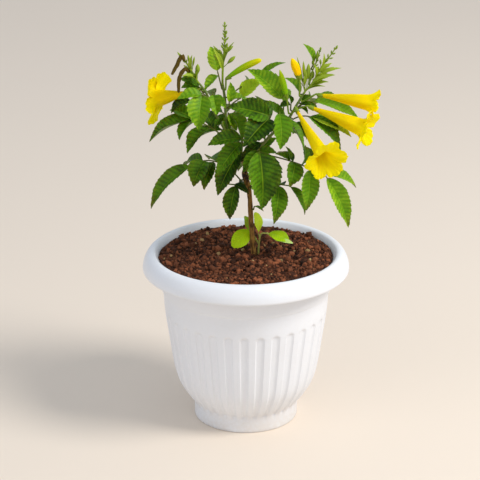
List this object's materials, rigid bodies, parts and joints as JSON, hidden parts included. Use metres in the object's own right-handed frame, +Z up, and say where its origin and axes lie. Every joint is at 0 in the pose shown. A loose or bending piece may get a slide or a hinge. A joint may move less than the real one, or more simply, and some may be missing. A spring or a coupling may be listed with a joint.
{
  "type": "potted tecoma",
  "caption": "Young yellow bells shrub with serrated compound leaves, trumpet flowers, bud spikes and pods in a white ribbed plastic pot of soil.",
  "frame": {"origin": "centre of the pot's flat underside, where it stands", "axes": "+Z up along the pot's axis; -Y is the side the plant shows most of its flowers and leaves to"},
  "size_m": [0.2212, 0.2, 0.3941],
  "materials": {
    "pot_plastic": "white, smooth, softly glossy",
    "soil_earth": "dark brown crumbly potting soil, matt",
    "trunk_bark": "brown young bark, matt",
    "shoot_green": "green to brownish young shoot",
    "leaf_green": "dark green, soft sheen, veined",
    "seedling_lime": "light lime green, soft sheen",
    "bud_green": "yellowish green",
    "petal_yellow": "saturated yellow, satin",
    "pod_brown": "dark brown, dry"
  },
  "bodies": {
    "root": {"branch_centre": "shoot_green", "branch_left": "shoot_green", "branch_right": "shoot_green", "bud_opening": "bud_green", "bud_slender": "bud_green", "bud_yellow": "petal_yellow", "calyx_front": "bud_green", "calyx_left": "bud_green", "calyx_right_middle": "bud_green", "calyx_right_upper": "bud_green", "flower_front": "petal_yellow", "flower_left": "petal_yellow", "flower_right_middle": "petal_yellow", "flower_right_upper": "petal_yellow", "leaf_back_centre": "leaf_green", "leaf_back_left": "leaf_green", "leaf_back_low": "leaf_green", "leaf_back_right": "leaf_green", "leaf_back_upper_left": "leaf_green", "leaf_back_upper_right": "leaf_green", "leaf_bright": "leaf_green", "leaf_centre": "leaf_green", "leaf_crown": "leaf_green", "leaf_crown_back": "leaf_green", "leaf_front": "leaf_green", "leaf_front_left": "leaf_green", "leaf_lance": "leaf_green", "leaf_left_raceme": "leaf_green", "leaf_low_left": "leaf_green", "leaf_low_right": "leaf_green", "leaf_mid_left": "leaf_green", "leaf_raceme_right": "leaf_green", "leaf_right_inner": "leaf_green", "leaf_right_low": "leaf_green", "leaf_right_top": "leaf_green", "leaf_right_upper": "leaf_green", "leaf_small_left": "leaf_green", "leaf_top_left": "leaf_green", "leaf_upper_left": "leaf_green", "leaf_upper_mid": "leaf_green", "pod_long": "pod_brown", "pod_upper": "pod_brown", "pot": "pot_plastic", "raceme_centre": "bud_green", "raceme_left": "bud_green", "raceme_right": "bud_green", "raceme_side": "bud_green", "seedling": "seedling_lime", "soil": "soil_earth", "trunk": "trunk_bark"}
  },
  "joints": []
}
